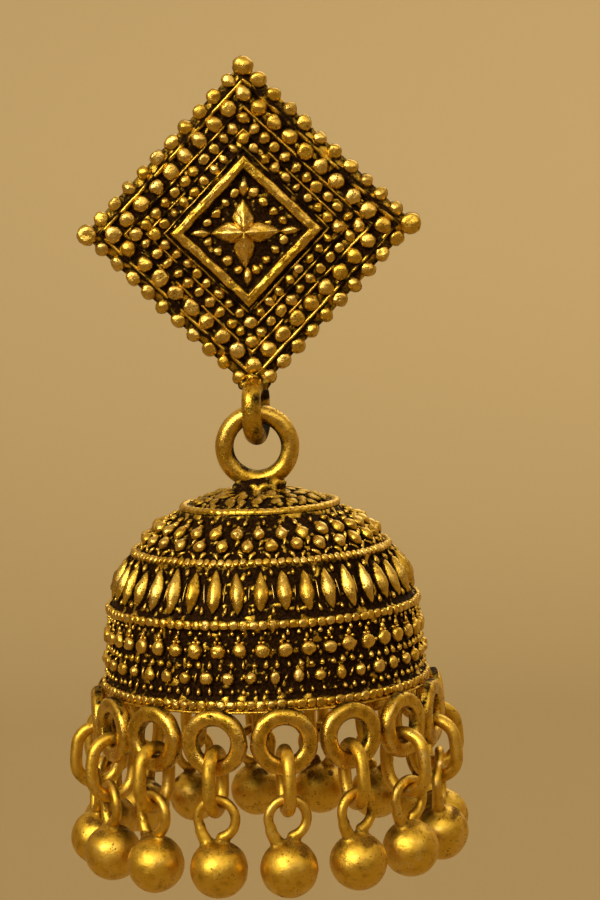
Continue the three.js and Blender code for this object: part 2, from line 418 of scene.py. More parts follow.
def worn_gold(name, wear, dirt_colours, pale, smooth, grain_mm, deep):
    """Gold over a dark patina, which stays in the recesses, in pits and in some scratches.

    wear is the relief where gold starts to show and where it shows in full. pale is how much the pale gold
    of the worn tops counts, smooth is the gold's roughness, grain_mm is the height of the surface's grain,
    and a higher deep leaves more of the deep gold.
    """
    n = Nodes(name)
    fine = n.texture(6.5, 4.0, 0.7)
    broad = n.texture(1.6, 4.0, 0.6)
    breakup = n.math("MULTIPLY", n.math("SUBTRACT", fine, 0.5), 0.7)
    worn = n.math("ADD", n.attribute("relief"), breakup)
    pit_size = n.ramp(n.texture(1.3, 2.0), 0.36, 0.68, 0.0, 0.3)
    pits = n.math("LESS_THAN", n.pits(4.6), pit_size)
    shown = n.ramp(worn, *wear)
    clean = n.math("MULTIPLY", shown, n.math("SUBTRACT", 1.0, n.math("MULTIPLY", pits, 0.75)))
    gold = n.mix(n.ramp(broad, deep, deep + 0.3), GOLD_DEEP, GOLD)
    tone = n.math("MULTIPLY", n.attribute("tone"), pale)
    gold = n.mix(n.math("MULTIPLY", tone, n.ramp(worn, 0.7, 1.1)), gold, GOLD_PALE)
    dirt = n.mix(n.ramp(fine, 0.42, 0.7), *dirt_colours)
    n.link(n.mix(clean, dirt, gold), n.shader.inputs["Base Color"])
    n.link(n.ramp(clean, 0.0, 0.6, 0.25, 1.0), n.shader.inputs["Metallic"])
    scuffs = n.math("MULTIPLY", n.math("SUBTRACT", n.texture(2.2, 3.0), 0.5), 0.25)
    rough = n.math("ADD", n.ramp(clean, 0.0, 0.8, 0.7, smooth), scuffs)
    n.link(rough, n.shader.inputs["Roughness"])
    height = n.math("ADD", n.math("MULTIPLY", fine, 0.7), n.math("MULTIPLY", clean, 0.3))
    height = n.math("ADD", height, n.math("MULTIPLY", broad, 0.8))
    n.bump(height, grain_mm, 1.0)
    set_inputs(n.shader, {"Specular IOR Level": DULL_SHINE})
    return n.material


def satin_gold():
    """The rings and balls of the fringe: almost clean, with brown stains."""
    dirt = (STAIN, STAIN_WARM)
    return worn_gold("satin_gold", (0.05, 0.5), dirt, pale=0.95, smooth=0.4, grain_mm=0.03, deep=0.24)


def darkened_gold():
    """The castings: bright on the tops, nearly black between them."""
    dirt = (PATINA, PATINA_WARM)
    return worn_gold("darkened_gold", (0.28, 0.66), dirt, pale=0.75, smooth=0.27, grain_mm=0.035, deep=0.3)


def post_metal():
    """Drawn wire: fine marks around the post."""
    n = Nodes("post_metal")
    marks = n.node("ShaderNodeTexWave", bands_direction="Y")
    n.link(n.place, marks.inputs["Vector"])
    set_inputs(marks, {"Scale": 4.0, "Distortion": 3.0, "Detail": 3.0})
    broad = n.texture(0.8, 3.0)
    n.link(n.mix(broad, GOLD_DEEP, GOLD_PALE), n.shader.inputs["Base Color"])
    set_inputs(n.shader, {"Metallic": 1.0})
    n.link(n.ramp(broad, 0.3, 0.7, 0.22, 0.4), n.shader.inputs["Roughness"])
    n.bump(marks.outputs["Fac"], 0.01, 0.5)
    return n.material


# ---- the bell's surface


# The cast dome is a little slimmer than half an ellipse: height above its base, and by how much.
SLIM_HEIGHT = [0.0, 1.2, 3.4, 5.1, 7.6, 9.1]
SLIM_BY = [0.0, 0.03, 0.2, 0.28, 0.3, 0.05]


def bell_radius(z):
    z = np.asarray(z, float)
    up = clamp((z - DOME_BASE) / DOME)
    down = clamp((DOME_BASE - z) / SKIRT)
    dome = HALF_WIDTH * np.sqrt(1 - up**2) - np.interp(z - DOME_BASE, SLIM_HEIGHT, SLIM_BY)
    return np.where(z >= DOME_BASE, np.maximum(dome, 0.02), HALF_WIDTH + (RIM_RADIUS - HALF_WIDTH) * down)


def dome_height(radius):
    return DOME_BASE + DOME * math.sqrt(1 - (radius / HALF_WIDTH) ** 2)


def bell_up(z):
    """The direction up the bell's profile at a height, as (radial, vertical)."""
    if z < DOME_BASE:
        step = np.array([HALF_WIDTH - RIM_RADIUS, SKIRT])
    else:
        rise = (z - DOME_BASE) / DOME
        step = np.array([-HALF_WIDTH * rise, DOME * math.sqrt(max(1 - rise**2, 1e-4))])
    return step / np.linalg.norm(step)


def bell_place(z, angle, lift, turn=0.0):
    """Centre and axes for something on the bell's outside, turned in the surface by turn."""
    up_r, up_z = bell_up(z)
    radial = np.array([math.sin(angle), -math.cos(angle), 0])
    along = np.array([math.cos(angle), math.sin(angle), 0])
    up = radial * up_r + np.array([0, 0, up_z])
    out = np.cross(along, up)
    centre = radial * float(bell_radius(z)) + out * lift + np.array([0, AXIS_Y, z])
    c, s = math.cos(turn), math.sin(turn)
    return centre, np.stack([along * c + up * s, up * c - along * s, out], 1)


class Row(NamedTuple):
    """Copies of a shape, or of one from a list of them, evenly spaced around the bell."""

    shape: object
    down: float  # the row's height below the crown
    count: int
    size: tuple  # half width, half height and rise of one copy
    lift: float  # how far its middle stands off the surface
    phase: float  # where the row starts, in spacings
    vary: float  # how unlike its copies are
    turn: float = 0.0
    rough: float = 0.11


def add_row(piece, row):
    _, tall, out = row.size
    spacing = 2 * math.pi / row.count
    for i in range(row.count):
        angle = (i + row.phase + random.normal(0, 0.25 * row.vary)) * spacing
        lean = row.turn + random.normal(0, 0.8 * row.vary)
        z = CROWN_Z - row.down + random.normal(0, 0.35 * row.vary) * tall
        centre, axes = bell_place(z, angle, row.lift + random.normal(0, 0.3 * row.vary) * out, lean)
        size = np.array(row.size) * (1 + random.normal(0, row.vary, 3))
        place(piece, row.shape, centre, axes, size, random.random(), row.rough)


GROUND_LIFT = -0.16  # the recessed ground between the beads
# The thin soldered edge under the lowest ring: how far out past the rim's radius, and how far above it.
LIP_PROFILE = ((0.1, 0.0), (0.26, 0.04), (0.3, 0.12), (0.24, 0.2), (0.02, 0.26))
LIP_TOP = RIM_Z + 0.26

UPPER_RING, MIDDLE_RING, WAIST_RING, RIM_RING = 1.3, 4.16, 7.88, 12.98  # below the crown
BELL_BANDS = [  # under each ring: place below the crown, half width, how far the band stands out
    (UPPER_RING, 0.22, 0.1),
    (MIDDLE_RING, 0.25, 0.12),
    (WAIST_RING, 0.29, 0.14),
    (RIM_RING, 0.29, 0.16),
]
SHELL_COLUMNS = 360
TIP = 0.02  # a row this small closes a surface on its axis
INSIDE_FLARE = 0.04  # how fast the inside widens below the dome


def around_bell(steps):
    """The outward direction at evenly spaced angles round the bell."""
    angle = full_turn(steps)
    return np.stack([np.sin(angle), -np.cos(angle), np.zeros(steps)], 1)


def circle(radial, radius, z):
    return radial * radius + np.array([0, AXIS_Y, z])


def bell_outside(radial):
    """Rows of the outside from the lip to the crown, each with its relief."""
    for out, up in LIP_PROFILE:
        base = circle(radial, RIM_RADIUS + out, RIM_Z + up)
        ragged = grain(base, 0.6) * 0.05 + noise(base, 0.3) * 0.03
        yield base + radial * ragged[:, None], clamp(0.75 + 5 * ragged)
    skirt = list(np.linspace(LIP_TOP + 0.05, DOME_BASE, 30))
    dome = [DOME_BASE + DOME * math.sin(t) for t in np.linspace(0, math.pi / 2, 92)[1:-1]]
    for z in skirt + dome:
        band = sum(
            (out - GROUND_LIFT) * math.exp(-(((z - (CROWN_Z - down)) / half) ** 4))
            for down, half, out in BELL_BANDS
        )
        up_r, up_z = bell_up(z)
        normal = radial * up_z + np.array([0, 0, -up_r])
        base = circle(radial, float(bell_radius(z)), z)
        specks = clamp(grain(base, 0.27) + 0.12) ** 2
        rough = noise(base, 0.5) * 0.06 + specks * 0.16
        lift = GROUND_LIFT + band + rough * (1 if band < 0.1 else 0.4)
        points = base + normal * lift[:, None]
        yield points, np.clip(0.02 + 1.1 * specks + 1.8 * band, 0, 0.85)
    yield circle(radial, TIP, points[0][2] + 0.005), np.full(len(radial), 0.1)


def bell_inside(radial):
    """Rows of the hammered inside from the top down, each with its relief."""
    profile = [(TIP, DOME_BASE + DOME - WALL)]
    for t in np.linspace(0, math.pi / 2, 26)[1:]:
        profile.append(((HALF_WIDTH - WALL) * math.sin(t), DOME_BASE + (DOME - WALL) * math.cos(t)))
    for z in np.linspace(DOME_BASE, RIM_Z + 0.1, 8)[1:]:
        profile.append((HALF_WIDTH - WALL + INSIDE_FLARE * (DOME_BASE - z), z))
    profile.append((RIM_RADIUS - WALL + 0.05, RIM_Z))
    for radius, z in profile:
        base = circle(radial, radius, z)
        hammered = noise(base, 1.6) * 0.05 if 0.1 < radius and z > RIM_Z + 0.2 else 0
        yield base + radial * np.reshape(hammered, (-1, 1)), clamp(0.42 + noise(base, 0.9) * 0.2)


def bell_shell():
    """The hollow bell with its ground, rings' bands, lip, top ring, mound and eyelets."""
    piece = Piece()
    radial = around_bell(SHELL_COLUMNS)
    piece.add_rows(*zip(*bell_outside(radial), *bell_inside(radial)), 0.4, wrap_rows=True)
    add_top_ring(piece)
    add_mound(piece)
    for i in range(DROPS):
        add_eyelet(piece, FIRST_DROP + i * 2 * math.pi / DROPS)
    return piece


def add_top_ring(piece):
    """The round ring on the crown, darker inside and at its foot."""
    centre = np.array([0, AXIS_Y, RING_Z])
    path = oval(RING_RADIUS, 0, 72) + centre
    points, faces = sweep(path, np.array([0, 1, 0]), RING_WIRE, 24)
    points = points + noise(points, 0.9)[:, None] * 0.02
    reach = np.linalg.norm((points - centre)[:, [0, 2]], axis=1)
    worn = smoothstep(RING_RADIUS - RING_WIRE, RING_RADIUS - 0.3 * RING_WIRE, reach)
    low = smoothstep(RING_Z - RING_RADIUS - 0.2, RING_Z - 1.2, points[:, 2])
    stain = clamp(noise(points + 4, 0.8) + 0.1) * 0.35
    piece.add(points, faces, clamp(0.4 + 0.5 * worn * (0.45 + 0.55 * low) - stain), 0.55)


def add_mound(piece):
    """The rough solder that the top ring stands in."""
    points, faces = icosphere(5)
    flat = points * np.array(MOUND)
    lumps = noise(flat + 7, 0.7) * 0.16 + grain(flat, 0.35) * 0.07
    moved = flat * (1 + lumps)[:, None] + np.array([0, AXIS_Y, CROWN_Z - MOUND_SUNK])
    relief = 0.42 + 1.1 * lumps / 0.2
    piece.add(moved, faces, clamp(relief), 0.3)


def add_eyelet(piece, angle):
    """A cast ring of rounded, flattened band under the rim, with a painted highlight along its bevels and
    outlined edges.
    """
    steps, sides = 56, 20
    turn = full_turn(steps)[:, None]
    across = boxier(np.cos(full_turn(sides)), 0.8)[None, :]
    out = boxier(np.sin(full_turn(sides)), 0.8)[None, :]
    uneven = 1 + 0.03 * math.sin(angle * 5)
    reach = EYELET_RADIUS + EYELET_BAND * uneven * across
    y = EYELET_HALF_THICKNESS * out * np.ones((steps, 1))
    local = np.stack([reach * np.cos(turn), y, reach * np.sin(turn)], -1).reshape(-1, 3)
    spin = turn_about_z(angle)
    points = local @ spin.T + spin @ np.array([0, -EYELET_CIRCLE, 0]) + np.array([0, AXIS_Y, EYELET_Z])
    rough = noise(points, 0.6) * 0.035 + grain(points, 0.3) * 0.015
    points = points + rough[:, None] * (local / EYELET_RADIUS) @ spin.T
    across, front = np.tile(across.ravel(), steps), np.tile(np.abs(out.ravel()), steps)
    foot = 1 - 0.3 * smoothstep(RIM_Z - 0.2, RIM_Z + 0.2, points[:, 2])
    # painted highlight: the front face is made paler near its inner and outer edges, where the bevels catch
    # the light
    bevel_highlight = np.exp(-(((np.abs(across) - 0.74) / 0.12) ** 2))
    relief = (0.8 + 0.5 * bevel_highlight * front + 0.25 * rough / 0.05) * foot
    relief -= 0.15 * smoothstep(0.5, 1.0, -across) * (1 - front)
    relief -= 0.1 * smoothstep(0.8, 1.0, across) * (1 - front)
    relief -= 0.5 * np.exp(-(((across + 0.88) / 0.1) ** 2))
    relief -= 0.15 * np.exp(-(((across - 0.97) / 0.07) ** 2))
    relief -= 0.55 * clamp(grain(local * [1, 1, 0.35] + 7 * angle, 0.3) - 0.3)
    faces = grid_faces(steps, sides, wrap_rows=True)
    piece.add(points, faces, np.clip(relief, 0, 1.2), 0.5 + 0.5 * random.random())


# ---- the bell's relief


def beaded_ring(piece, down, count, height, lift):
    """A ring of close squarish beads."""
    spacing = 2 * math.pi * float(bell_radius(CROWN_Z - down)) / count
    size = (0.5 * 0.93 * spacing, height / 2, 0.3)
    add_row(piece, Row(bead(square=0.8, flat=0.25), down, count, size, lift, random.random(), 0.07))


# The cap's rows of blobs: distance from the axis, count, half width and half height.
CAP_ROWS = ((2.4, 12, 0.36, 0.5), (3.15, 16, 0.36, 0.5), (3.95, 21, 0.38, 0.44), (4.5, 26, 0.26, 0.3))


def add_cap(piece):
    """Flat leaf-like blobs lying at odd angles round the top ring."""
    leaf = drop_shape(FINE, point=0.5, low_point=0.4)
    for radius, count, wide, tall in CAP_ROWS:
        for i in range(count):
            angle = (i + random.normal(0, 0.16)) * 2 * math.pi / count
            z = dome_height(radius + random.normal(0, 0.08))
            centre, axes = bell_place(z, angle, -0.1, random.uniform(-1.3, 1.3))
            size = np.array([wide, tall, 0.24]) * random.uniform(0.75, 1.2, 3)
            place(piece, leaf, centre, axes, size, random.random(), 0.16, relief_gain=0.55)


def add_rope(piece, down, marks):
    """A flattened wire with faint oblique marks."""
    z = CROWN_Z - down
    steps, sides = marks * 8, 12
    angle, around = full_turn(steps), full_turn(sides)
    up_r, up_z = bell_up(z)
    radial = around_bell(steps)
    up = radial * up_r + np.array([0, 0, up_z])
    out = radial * up_z + np.array([0, 0, -up_r])
    middle = circle(radial, float(bell_radius(z)), z) + out * 0.02
    phase = marks * angle[:, None] + 1.1 * np.cos(around)[None, :]
    notch = 0.05 * (0.5 + 0.5 * np.cos(phase)) ** 3
    swell = 1 + 0.05 * np.sin(marks * angle)[:, None] - notch
    points = (
        middle[:, None]
        + (0.31 * swell * np.cos(around))[..., None] * up[:, None]
        + (0.34 * swell * np.sin(around))[..., None] * out[:, None]
    ).reshape(-1, 3)
    points = points + noise(points, 0.6)[:, None] * np.repeat(out, sides, 0) * 0.05
    relief = smoothstep(-0.2, 0.7, np.tile(np.sin(around), steps)) - 3.5 * notch.ravel()
    relief = relief * (0.85 + 0.25 * grain(points, 0.5))
    faces = grid_faces(steps, sides, wrap_rows=True)[:, ::-1]
    piece.add(points, faces, clamp(relief), 0.6)


def relief_upper():
    """The cap, the rope ring and the two rows of buds down to the second ring."""
    piece = Piece()
    add_cap(piece)
    add_rope(piece, UPPER_RING, 66)
    seed, dot = drop_shape(COARSE, point=0.8), bead(COARSE)
    bud = [drop_shape(FINE, point=p, low_point=q) for p, q in ((0.3, 0.0), (0.45, 0.15), (0.2, 0.25))]
    tail = drop_shape(COARSE, 0.2, 0.35, 0.8)
    left_foot, right_foot = (drop_shape(COARSE, 0.3, 0.45 * side, 0.9) for side in (-1, 1))
    foot_size = (0.27, 0.13, 0.2)
    for row in (
        Row(seed, 1.84, 34, (0.16, 0.2, 0.24), -0.05, 0.2, 0.16),
        Row(bud, 2.5, 30, (0.45, 0.46, 0.46), 0.0, 0.0, 0.06),
        Row(seed, 2.14, 30, (0.19, 0.22, 0.28), -0.06, 0.0, 0.12),
        Row(tail, 2.92, 30, (0.18, 0.24, 0.26), -0.06, 0.1, 0.14),
        Row(bud, 3.22, 30, (0.46, 0.45, 0.48), 0.0, 0.5, 0.07),
        Row(seed, 2.88, 30, (0.16, 0.2, 0.24), -0.08, 0.5, 0.14),
        Row(left_foot, 3.62, 30, foot_size, -0.08, 0.26, 0.16, turn=-0.5),
        Row(right_foot, 3.62, 30, foot_size, -0.08, 0.74, 0.16, turn=0.5),
        Row(dot, 3.5, 30, (0.1, 0.12, 0.16), -0.1, 0.0, 0.3),
    ):
        add_row(piece, row)
    return piece


def relief_petals():
    """The ring above the petals, the petals with the seeds in their gaps, and the ring below them."""
    piece = Piece()
    beaded_ring(piece, MIDDLE_RING, 110, 0.54, 0.02)
    petal = [marquise(waist=w, ridge=r) for w, r in ((0.1, 0.34), (0.2, 0.42), (0.15, 0.28))]
    seed = drop_shape(COARSE, point=0.9)
    for row in (
        Row(petal, 5.86, 40, (0.52, 1.5, 0.58), -0.06, 0.0, 0.04, rough=0.09),
        Row(seed, 4.76, 40, (0.15, 0.24, 0.26), -0.08, 0.5, 0.1),
        Row(seed, 7.06, 40, (0.15, 0.2, 0.24), -0.08, 0.5, 0.12),
        Row(bead(COARSE), 5.86, 40, (0.05, 0.66, 0.1), -0.14, 0.5, 0.1),
    ):
        add_row(piece, row)
    beaded_ring(piece, WAIST_RING, 104, 0.6, 0.04)
    return piece


def relief_lower():
    """The rows of buds and granules between the third ring and the rim, and the rim's ring."""
    piece = Piece()
    seed, small = drop_shape(COARSE, point=0.7), bead(COARSE)
    spur = drop_shape(COARSE, 0.8, 0.2, 0.3)
    bud = [bead(flat=0.35), bead(flat=0.2, square=0.9), drop_shape(FINE, point=0.15)]
    for row in (
        Row(seed, 8.42, 90, (0.14, 0.15, 0.22), -0.06, 0.3, 0.16),
        Row(bud, 9.52, 45, (0.49, 0.48, 0.44), -0.02, 0.0, 0.06),
        *(Row(small, 8.98, 45, (0.15, 0.14, 0.22), -0.03, phase, 0.12) for phase in (-0.12, 0.12)),
        Row(seed, 8.74, 45, (0.15, 0.18, 0.24), -0.02, 0.0, 0.12),
        Row(small, 9.5, 45, (0.12, 0.16, 0.2), -0.08, 0.5, 0.2),
        Row(seed, 10.48, 90, (0.2, 0.21, 0.28), -0.06, 0.25, 0.16),
        Row(bud, 11.26, 45, (0.42, 0.42, 0.42), -0.02, 0.5, 0.07),
        Row(spur, 10.94, 45, (0.13, 0.17, 0.22), -0.03, 0.5, 0.14),
        Row(spur, 11.3, 45, (0.11, 0.17, 0.18), -0.08, 0.0, 0.2),
        Row(seed, 12.18, 90, (0.16, 0.17, 0.26), -0.06, 0.25, 0.16),
    ):
        add_row(piece, row)
    beaded_ring(piece, RIM_RING, 106, 0.62, 0.06)
    return piece


# ---- the stud


# The ridges on the steps: reach, half width and height of the top.
RIDGES = ((9.92, 0.19, 1.16), (8.28, 0.15, 1.2), (6.76, 0.13, 1.3), (5.55, 0.12, 1.42))

# The plate's ground from the middle out, with the raised frame round the star: reach, and height above
# the back rim.
GROUND = [(0, 1.24), (3.9, 1.22), (4.1, 1.36), (4.18, 1.74), (4.28, 1.88), (4.63, 1.92), (4.98, 1.88)]
GROUND += [(5.07, 1.78), (5.14, 1.4), (5.3, 1.2), (5.7, 1.12), (6.56, 1.02), (7.0, 0.96), (8.08, 0.92)]
GROUND += [(8.5, 0.86), (9.7, 0.84), (10.12, 0.98), (10.4, 0.82), (10.75, 0.66), (11.1, 0.5), (11.16, 0.34)]
GROUND_REACH, GROUND_HEIGHT = zip(*GROUND)

# The plate's back from the middle out, with a hollow inside a flat rim: reach and height.
BACK_REACH = [0.0, 8.0, 8.3, 8.6, 10.5, 10.6, 10.85, 11.1]
BACK_HEIGHT = [-0.35, -0.35, -0.2, 0.0, 0.0, -0.05, -0.14, -0.2]
BACK_ROWS = [*np.linspace(0.01, 7.9, 34), 8.0, 8.15, 8.3, 8.45, 8.6, 9.2, 10.0, 10.5, 10.6, 10.85, 11.1]

PLATE_STEPS = 44  # points along one side of the square
PLATE_DRIFT = np.array([-0.32, 0.0, -0.22])


def plate_samples():
    """Reaches to sample the plate's front at, close together where it has ridges and edges."""
    reaches = list(GROUND_REACH)
    for reach, half, _ in RIDGES:
        reaches += list(reach + half * np.linspace(-1.25, 1.25, 11))
    reaches += list(np.linspace(4.2, 5.1, 9)) + list(np.linspace(0.3, 10.4, 46))
    return np.unique(np.round(reaches, 3))[::-1]


def plate_height(reach):
    """Height of the plate's front at some reaches, and its relief."""
    height = np.interp(reach, GROUND_REACH, GROUND_HEIGHT)
    relief = 0.05 + 0.9 * smoothstep(1.55, 1.85, height)
    relief = np.maximum(relief, 0.34 * smoothstep(10.25, 10.45, reach))
    for middle, half, top in RIDGES:
        across = clamp(1 - ((reach - middle) / (1.2 * half)) ** 2)
        rise = top - np.interp(middle, GROUND_REACH, GROUND_HEIGHT)
        height = height + rise * np.sqrt(across)
        relief = np.maximum(relief, 0.9 * across**0.6)
    return height, relief


def square_point(reach, side, along):
    """A point of the square with that reach on one of its sides, as x and z."""
    corners = [(1, 0), (0, 1), (-1, 0), (0, -1)]
    start, end = np.array(corners[side]), np.array(corners[(side + 1) % 4])
    return reach * (start * (1 - along) + end * along)


def plate_drift(reach):
    """The inner steps were set a little to the left of the border and below it."""
    return PLATE_DRIFT * max(1 - reach / BORDER, 0)


def plate_ring(reach):
    steps = range(PLATE_STEPS)
    return np.array([square_point(reach, side, i / PLATE_STEPS) for side in range(4) for i in steps])


def front_row(reach):
    """One square of points on the plate's front, with its relief."""
    xz = plate_ring(max(reach, 0.01))
    height, worn = plate_height(np.full(len(xz), reach))
    points = np.stack([xz[:, 0], -height, xz[:, 1]], 1)
    ground = 1 - smoothstep(0.3, 0.7, worn)
    points[:, 1] -= noise(points, 0.5) * (0.04 + 0.05 * ground) + grain(points, 0.25) * 0.04
    side = noise(points + 5, 0.8) * 0.05 + grain(points + 9, 0.35) * 0.035
    points[:, [0, 2]] *= 1 + side[:, None] / max(reach, 2)
    points += plate_drift(reach)
    specks = clamp(grain(points + 11, 0.3) + 0.12) ** 2
    points[:, 1] -= 0.1 * specks * ground
    nick = clamp(grain(points + 3, 0.6) + 0.25) * (1.0 if reach > 5.3 else 0.5)
    return points, clamp(worn + 1.1 * specks * ground - nick * (1 - ground))


def back_row(reach):
    """One square of points on the plate's back, with its relief."""
    xz = plate_ring(reach)
    points = np.stack([xz[:, 0], np.full(len(xz), np.interp(reach, BACK_REACH, BACK_HEIGHT)), xz[:, 1]], 1)
    points[:, 1] += (noise(points, 1.2) * 0.05 + grain(points, 0.4) * 0.02) * (reach < 8.2)
    return points, clamp(0.62 + noise(points, 1.1) * 0.2 - 0.15 * (8.0 < reach < 8.7))


def stud_piece():
    """The stepped square plate with its beads, star and loop."""
    piece = Piece()
    squares = [*map(front_row, plate_samples()), *map(back_row, BACK_ROWS)]
    piece.add_rows(*zip(*squares), 0.5, wrap_rows=True)
    add_plate_beads(piece)
    add_star(piece)
    add_stud_loop(piece)
    return piece


def front_axes(turn):
    """Axes for something on the plate's front, turned by an angle in the plate's plane."""
    c, s = math.cos(turn), math.sin(turn)
    return np.array([[c, -s, 0], [0, 0, -1], [s, c, 0]])


def bead_row(piece, template, reach, between, size, height, vary, corner=None, skip=()):
    """Beads along the four sides, and one of another size at each corner not in skip."""

    def put(middle, side, along, scale, turn):
        x, z = square_point(middle, side, along)
        centre = np.array([x, -height, z]) + plate_drift(reach)
        place(piece, template, centre, front_axes(turn), scale, random.random())

    for side in range(4):
        if corner and side not in skip:
            turn = random.uniform(0, 3)
            put(reach, side, 0, np.array(corner) * (1 + random.normal(0, 0.3 * vary, 3)), turn)
        for i in range(1, between + 1):
            along = (i + random.normal(0, 0.35 * vary)) / (between + 1)
            middle = reach + random.normal(0, 0.3 * vary)
            scale = np.array(size) * (1 + random.normal(0, vary, 3))
            put(middle, side, along, scale, math.radians(135 + 90 * side) + random.normal(0, 0.15))


def worn_behind(template):
    """The same template with gold on its back as well, for beads that show from behind."""
    points, faces, relief = template
    return points, faces, np.maximum(relief, 0.8 * smoothstep(0.1, 0.5, -points[:, 2]))


LOWEST_CORNER = 3  # side whose corner bead gives way to the loop
SEED_REACH, SEED_HEIGHT, SEED_SIZE = 3.05, 1.28, (0.36, 0.74, 0.42)  # beyond the star's points


def add_plate_beads(piece):
    """The border, the three rows on the steps, the small row round the star and its four seeds."""
    dome = [bead(flat=0.25), bead(flat=0.4, square=0.9), drop_shape(FINE, 0.12, low_point=0.1)]
    rough_dome = [bead(flat=0.2, square=0.85), drop_shape(FINE, 0.35), drop_shape(FINE, 0.2, low_point=0.3)]
    border = [worn_behind(template) for template in dome]
    big, skip = (0.69, 0.69, 0.62), (LOWEST_CORNER,)
    bead_row(piece, border, BORDER, 10, (0.53, 0.52, 0.52), 0.6, 0.05, big, skip)
    bead_row(piece, dome, 9.1, 8, (0.58, 0.57, 0.5), 0.96, 0.05, (0.58, 0.58, 0.46))
    bead_row(piece, rough_dome, 7.5, 10, (0.38, 0.36, 0.36), 1.04, 0.1, (0.46, 0.46, 0.42))
    bead_row(piece, rough_dome, 6.16, 8, (0.35, 0.34, 0.34), 1.16, 0.1, (0.45, 0.42, 0.4))
    bead_row(piece, rough_dome, 3.25, 4, (0.33, 0.31, 0.32), 1.3, 0.08)
    seed = [marquise(12, 10, w) for w in (0.0, 0.15)]
    for side in range(4):
        x, z = square_point(SEED_REACH, side, 0)
        axes = front_axes(math.radians(90 * side - 90 + random.normal(0, 4)))
        centre = np.array([x, -SEED_HEIGHT, z]) + plate_drift(3)
        place(piece, seed, centre, axes, np.array(SEED_SIZE), 0.8)


STAR_EDGE = 1.3  # height of the star's edge, just above the ground
STAR_PEAK = 0.7  # how far its middle stands above its edge
STAR_SUNK = 0.9  # height of its underside, inside the plate
# The star's outline: how far round from a point's tip to the corner midway to the next, and its reach.
STAR_ROUND = [0.0, 0.05, 0.15, 0.33, 0.5, 0.65, 0.78, 0.9, 1.0]
STAR_REACH = [2.38, 2.28, 2.08, 1.78, 1.54, 1.38, 1.3, 1.14, 0.88]


def add_star(piece):
    """Four ridged points on the square's diagonals, with a short lobe in each corner between them."""
    steps, rings = 120, 16
    angle = full_turn(steps)
    # 0 on a point's ridge and 1 midway between two points
    between = np.abs((angle + math.pi / 4) % (math.pi / 2) - math.pi / 4) / (math.pi / 4)
    outline = np.interp(between, STAR_ROUND, STAR_REACH) * (1 + 0.05 * np.sin(3 * angle + 1))
    rows, relief = [], []
    for ring in range(rings + 1):
        out = max(ring / rings, 0.004)
        dip = 0.25 * between + 0.3 * smoothstep(0.75, 1.0, between)
        ridge = 1 - dip * np.sin(math.pi * out)
        rise = STAR_PEAK * (1 - out**1.6) ** 0.75 * ridge
        x, z = outline * out * np.cos(angle), outline * out * np.sin(angle)
        points = np.stack([x, -(STAR_EDGE + rise), z], 1)
        points[:, 1] += noise(points, 0.4) * 0.05 + clamp(grain(points, 0.25) - 0.3) * 0.08
        rows.append(points)
        worn = 1.05 - 0.25 * between * out - 0.5 * clamp(grain(points + 2, 0.35))
        relief.append(clamp(worn) * smoothstep(0.0, 0.06, 1.02 - out))
    under = rows[-1].copy()
    under[:, 1] = -STAR_SUNK
    rows += [under, under * np.array([0.004, 1, 0.004])]
    relief += [np.zeros(steps)] * 2
    piece.add_rows([row + plate_drift(0) for row in rows], relief, 0.9)


# Solder where the loop meets the plate: x, z and radius of each lump.
LOOP_SOLDER = ((-0.62, -10.45, 0.5), (0.62, -10.4, 0.5), (0.0, -10.15, 0.6))


def add_stud_loop(piece):
    """The cast loop under the lowest corner, thickest at its bottom, and the solder at its root."""
    steps, sides = 80, 24
    path = oval(LOOP_RADIUS, LOOP_STRETCH, steps)
    path[:, 2] = np.where(path[:, 2] > 0, LOOP_SQUAT * path[:, 2], path[:, 2])
    spin = turn_about_z(math.pi / 2 + LOOP_TURN)
    path = path @ spin.T + np.array([0, AXIS_Y, LOOP_Z])
    low = smoothstep(0.2, 1.0, -np.sin(full_turn(steps)))
    points, faces = sweep(path, spin[:, 1], LOOP_WIRE * (0.93 + 0.07 * low), sides)
    points = points + noise(points, 0.7)[:, None] * np.array([0.03, 0.0, 0.0])
    stain = clamp(noise(points, 0.8) + 0.2) * 0.55
    # painted shade: the loop is made darker towards its right side (+X), the side turned from the light
    shade = 0.2 * smoothstep(-0.2, 0.6, points[:, 0])
    piece.add(points, faces, clamp(0.74 - shade - stain), 0.3)
    ball, ball_faces = icosphere(4)
    for x, z, size in LOOP_SOLDER:
        lump = ball * size
        lump = lump * (1 + 0.16 * noise(lump + 3 * x, 0.3))[:, None]
        moved = lump + np.array([x, -0.7, z])
        piece.add(moved, ball_faces, clamp(0.5 + 0.45 * noise(moved, 0.35)), 0.3)


def post_piece():
    """The ear post on its pad, with a notch for the clutch near its tip."""
    piece = Piece()
    low, high = node_box("ear_post")
    start, length = low[1], high[1] - low[1]
    pad, thick, wire = 1.6, 0.32, 0.42
    profile = [(0.0, 0.0), (pad - 0.06, 0.0), (pad, 0.05), (pad, thick - 0.06), (pad - 0.08, thick)]
    profile += [(1.0, thick + 0.02), (0.66, thick + 0.06), (0.5, thick + 0.16), (wire, thick + 0.36)]
    profile += [(wire, y) for y in np.linspace(1.2, length - 2.1, 10)]
    profile += [(wire, length - 1.95), (0.31, length - 1.8), (0.31, length - 1.6), (wire, length - 1.45)]
    profile += [(wire, length - 0.42), (0.37, length - 0.22), (0.25, length - 0.07), (0.0, length)]
    steps = 40
    turn = full_turn(steps)
    rows = []
    for radius, y in profile:
        r = max(radius, 0.003)
        rows.append(np.stack([r * np.cos(turn), np.full(steps, start + y), r * np.sin(turn)], 1))
    centre = np.array([(low[0] + high[0]) / 2, 0, (low[2] + high[2]) / 2])
    piece.add(np.concatenate(rows) + centre, grid_faces(len(rows), steps)[:, ::-1], 1.0, 0.5)
    return piece


# ---- jump rings and ball drops


